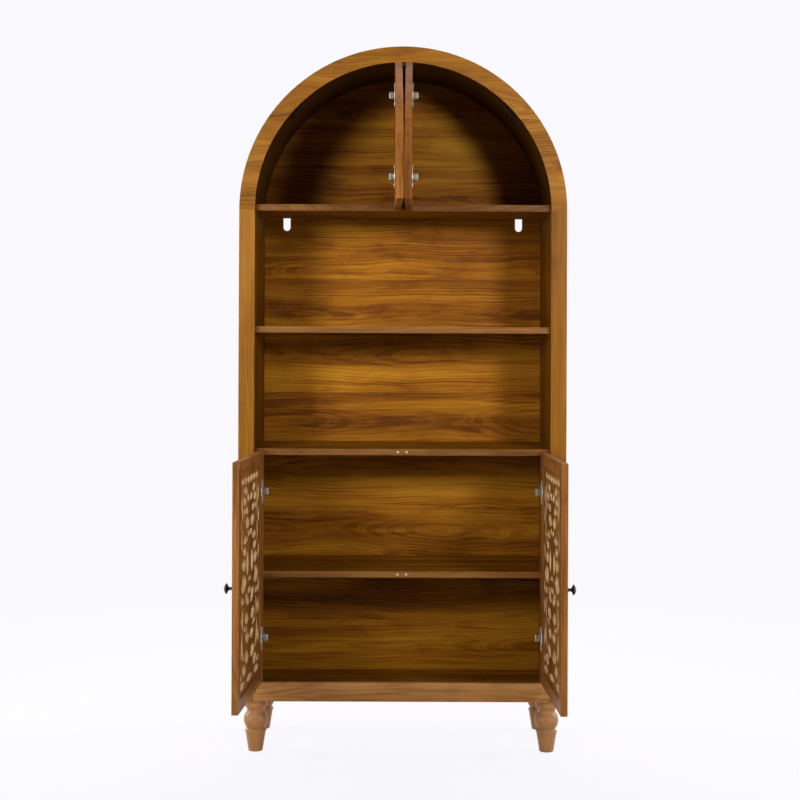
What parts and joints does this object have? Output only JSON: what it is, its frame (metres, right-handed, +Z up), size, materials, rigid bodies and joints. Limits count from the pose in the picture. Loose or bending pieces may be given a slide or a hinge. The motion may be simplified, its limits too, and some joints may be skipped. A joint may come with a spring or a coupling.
{
  "type": "arched cabinet",
  "caption": "Arch-topped open cabinet on turned legs, with pierced lattice doors below and quarter-round doors in the arch, all standing open on concealed hinges.",
  "frame": {"origin": "on the floor, under the middle of the carcass (the open doors reach forward of it)", "axes": "+Z up, -Y out of the front, +X to the right as seen from the front"},
  "size_m": [0.832, 0.6789, 1.7949],
  "materials": {
    "walnut_veneer": "satin brown wood grain veneer",
    "back_veneer": "satin brown wood grain, grain running across",
    "lattice_wood": "satin brown faces with pale cut edges",
    "turned_wood": "satin light brown stain",
    "dowel_wood": "plain beech",
    "hardware_steel": "bright nickel plated",
    "magnet": "plain",
    "black_knob": "satin black",
    "brown_plastic": "matte brown"
  },
  "bodies": {
    "carcass": {"left_side": "walnut_veneer", "right_side": "walnut_veneer", "arch_hood": "walnut_veneer", "arch_dowels": "dowel_wood", "bottom_board": "walnut_veneer", "base_rail": "walnut_veneer", "lower_shelf": "walnut_veneer", "cabinet_top": "walnut_veneer", "middle_shelf": "walnut_veneer", "arch_floor": "walnut_veneer", "arch_partition": "walnut_veneer", "lower_back_panel": "back_veneer", "arch_back_panel": "back_veneer", "shelf_magnets": "magnet", "front_legs": "turned_wood", "rear_legs": "turned_wood", "leg_bolts": "hardware_steel", "left_arch_catch": "brown_plastic", "right_arch_catch": "brown_plastic", "lower_left_hinge_plates": "hardware_steel", "lower_left_hinge_arms": "hardware_steel", "lower_right_hinge_plates": "hardware_steel", "lower_right_hinge_arms": "hardware_steel", "upper_left_hinge_plates": "hardware_steel", "upper_left_hinge_arms": "hardware_steel", "upper_right_hinge_plates": "hardware_steel", "upper_right_hinge_arms": "hardware_steel"},
    "lower_left_door": {"lower_left_hinge_stile": "walnut_veneer", "lower_left_latch_stile": "walnut_veneer", "lower_left_top_rail": "walnut_veneer", "lower_left_bottom_rail": "walnut_veneer", "lower_left_lattice": "lattice_wood", "lower_left_knob": "black_knob", "lower_left_knob_screw": "hardware_steel", "lower_left_strikes": "hardware_steel", "lower_left_hinge_cups": "hardware_steel"},
    "lower_left_links": {"lower_left_hinge_links": "hardware_steel"},
    "lower_right_door": {"lower_right_hinge_stile": "walnut_veneer", "lower_right_latch_stile": "walnut_veneer", "lower_right_top_rail": "walnut_veneer", "lower_right_bottom_rail": "walnut_veneer", "lower_right_lattice": "lattice_wood", "lower_right_knob": "black_knob", "lower_right_knob_screw": "hardware_steel", "lower_right_strikes": "hardware_steel", "lower_right_hinge_cups": "hardware_steel"},
    "lower_right_links": {"lower_right_hinge_links": "hardware_steel"},
    "upper_left_door": {"upper_left_panel": "walnut_veneer", "upper_left_strike": "hardware_steel", "upper_left_hinge_cups": "hardware_steel"},
    "upper_left_links": {"upper_left_hinge_links": "hardware_steel"},
    "upper_right_door": {"upper_right_panel": "walnut_veneer", "upper_right_strike": "hardware_steel", "upper_right_hinge_cups": "hardware_steel"},
    "upper_right_links": {"upper_right_hinge_links": "hardware_steel"}
  },
  "joints": [
    {"name": "lower_left_door_hinge", "type": "hinge", "parent": "carcass", "child": "lower_left_door", "pos_m": [-0.364, -0.156, 0.475], "axis": [0, 0, 1], "range_deg": [-2.9, 94.1]},
    {"name": "lower_left_link_hinge", "type": "hinge", "parent": "carcass", "child": "lower_left_links", "pos_m": [-0.36, -0.1381, 0.475], "axis": [0, 0, 1], "range_deg": [-2.2, 68.8]},
    {"name": "lower_right_door_hinge", "type": "hinge", "parent": "carcass", "child": "lower_right_door", "pos_m": [0.364, -0.156, 0.475], "axis": [0, 0, 1], "range_deg": [-92.4, 4.6]},
    {"name": "lower_right_link_hinge", "type": "hinge", "parent": "carcass", "child": "lower_right_links", "pos_m": [0.36, -0.1381, 0.475], "axis": [0, 0, 1], "range_deg": [-67.6, 3.5]},
    {"name": "upper_left_door_hinge", "type": "hinge", "parent": "carcass", "child": "upper_left_door", "pos_m": [-0.0107, -0.156, 1.567], "axis": [0, 0, 1], "range_deg": [-90.95, 0]},
    {"name": "upper_left_link_hinge", "type": "hinge", "parent": "carcass", "child": "upper_left_links", "pos_m": [-0.0147, -0.1381, 1.567], "axis": [0, 0, 1], "range_deg": [-66.5, 0]},
    {"name": "upper_right_door_hinge", "type": "hinge", "parent": "carcass", "child": "upper_right_door", "pos_m": [0.0107, -0.156, 1.567], "axis": [0, 0, 1], "range_deg": [0, 90.95]},
    {"name": "upper_right_link_hinge", "type": "hinge", "parent": "carcass", "child": "upper_right_links", "pos_m": [0.0147, -0.1381, 1.567], "axis": [0, 0, 1], "range_deg": [0, 66.5]}
  ],
  "couplings": [
    {"joint": "lower_left_link_hinge", "follows": "lower_left_door_hinge", "ratio": 0.73},
    {"joint": "lower_right_link_hinge", "follows": "lower_right_door_hinge", "ratio": 0.73},
    {"joint": "upper_left_link_hinge", "follows": "upper_left_door_hinge", "ratio": 0.73},
    {"joint": "upper_right_link_hinge", "follows": "upper_right_door_hinge", "ratio": 0.73}
  ]
}
